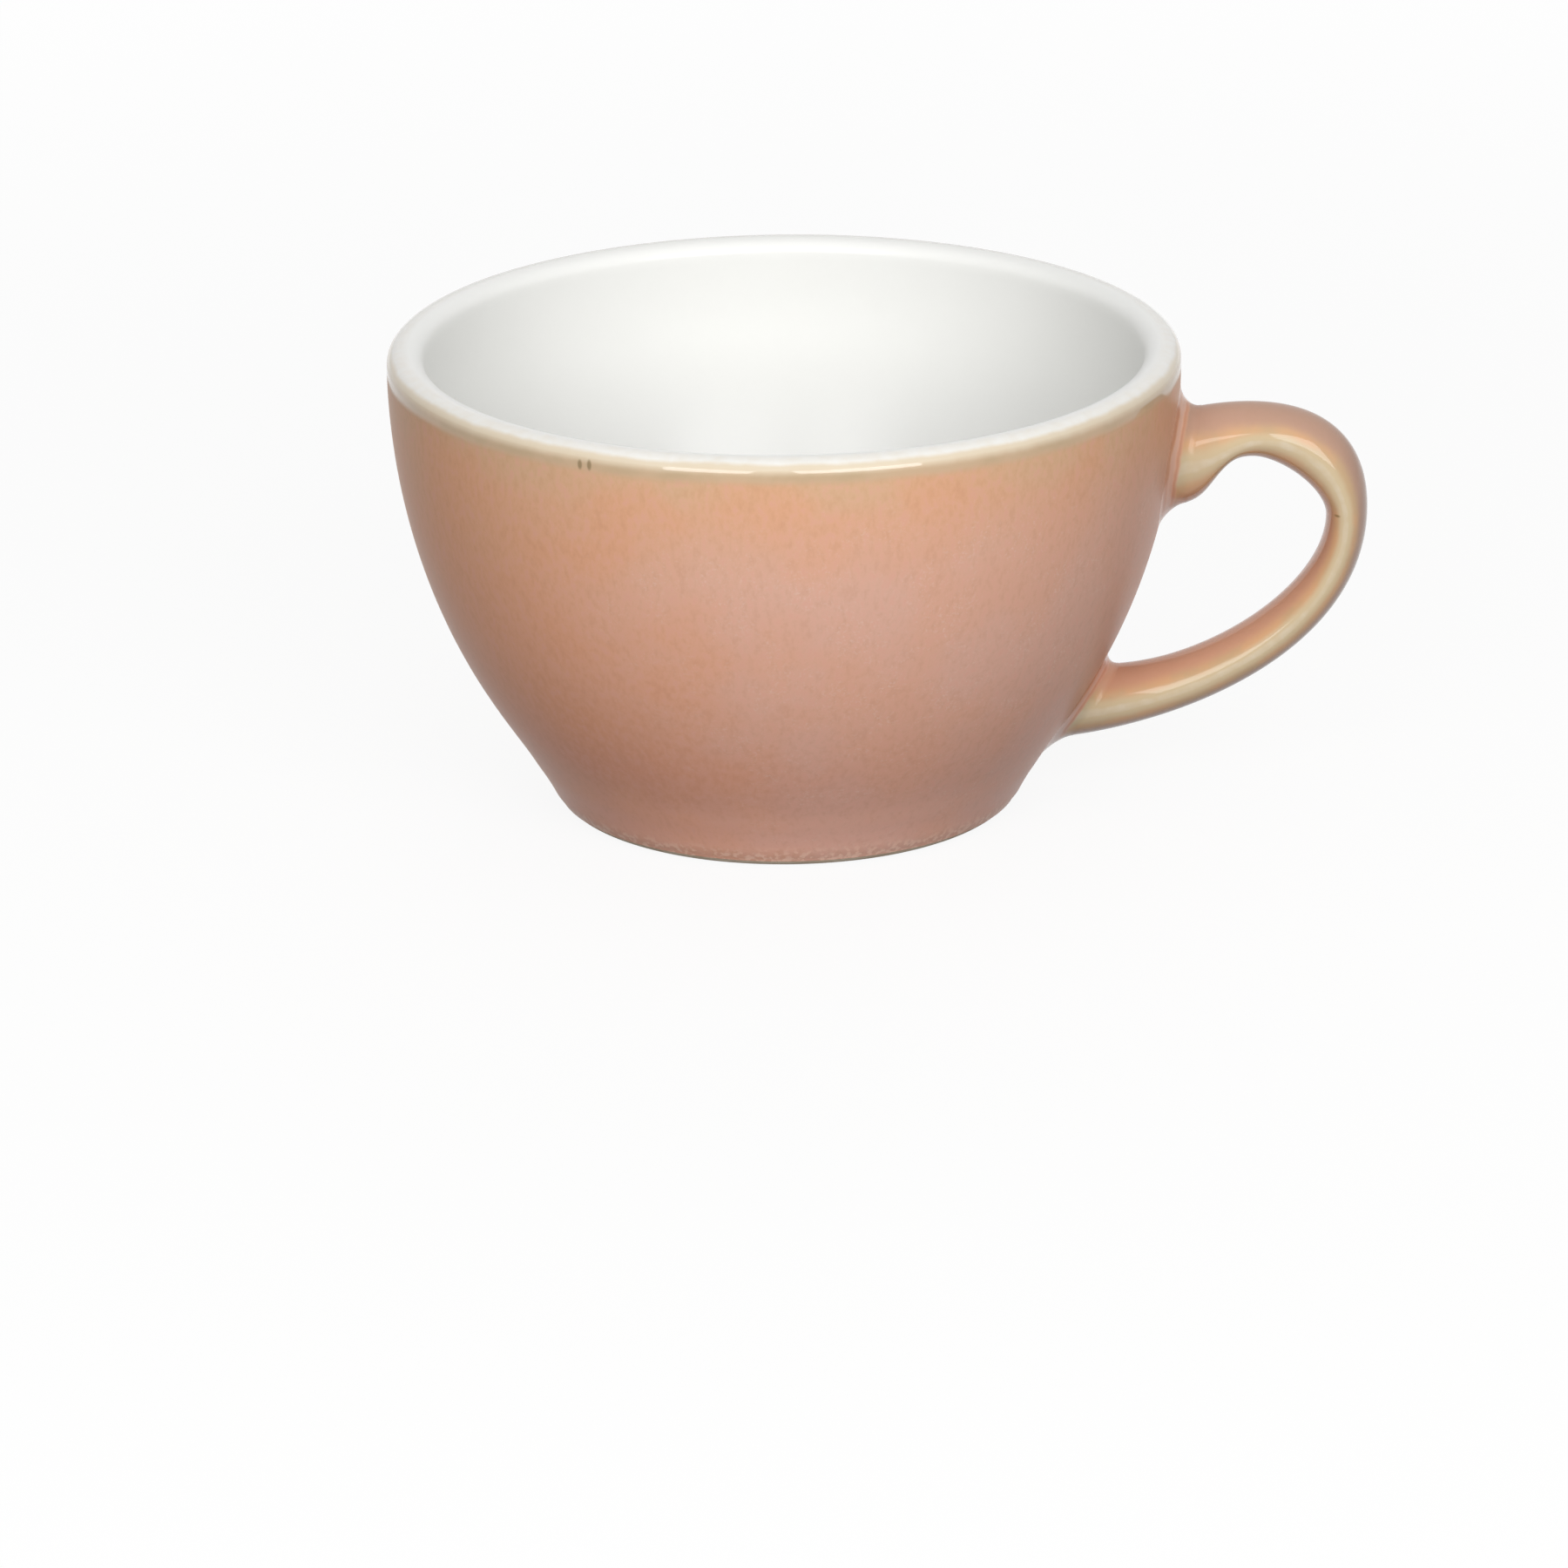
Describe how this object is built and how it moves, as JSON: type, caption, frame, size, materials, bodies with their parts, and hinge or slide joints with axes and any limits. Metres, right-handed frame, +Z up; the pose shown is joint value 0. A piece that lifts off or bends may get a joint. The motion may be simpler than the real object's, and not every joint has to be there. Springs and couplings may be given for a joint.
{
  "type": "cappuccino cup",
  "caption": "Thick-walled stoneware cappuccino cup with a rounded bowl, low foot ring and luted ear handle, rose reactive glaze outside and white liner inside.",
  "frame": {"origin": "on the table under the middle of the whole cup's box, halfway between the far side of the rim and the tip of the handle", "axes": "+X from the bowl towards the tip of the handle, +Z up along the bowl's axis, +Y to the left of the handle"},
  "size_m": [0.1248, 0.101, 0.0605],
  "materials": {
    "stoneware": "bare fired stoneware, matt and slightly grainy",
    "slip": "slip collar under thin rose glaze, glossy",
    "white_glaze": "glossy white liner glaze",
    "rose_glaze": "glossy reactive rose glaze, finely mottled, breaking to cream and tan where it is thin"
  },
  "bodies": {
    "root": {"cup_body": "stoneware", "handle": "stoneware", "upper_slip_joint": "slip", "lower_slip_joint": "slip", "liner_glaze": "white_glaze", "outer_glaze": "rose_glaze", "handle_glaze": "rose_glaze", "base_glaze": "rose_glaze"}
  },
  "joints": []
}
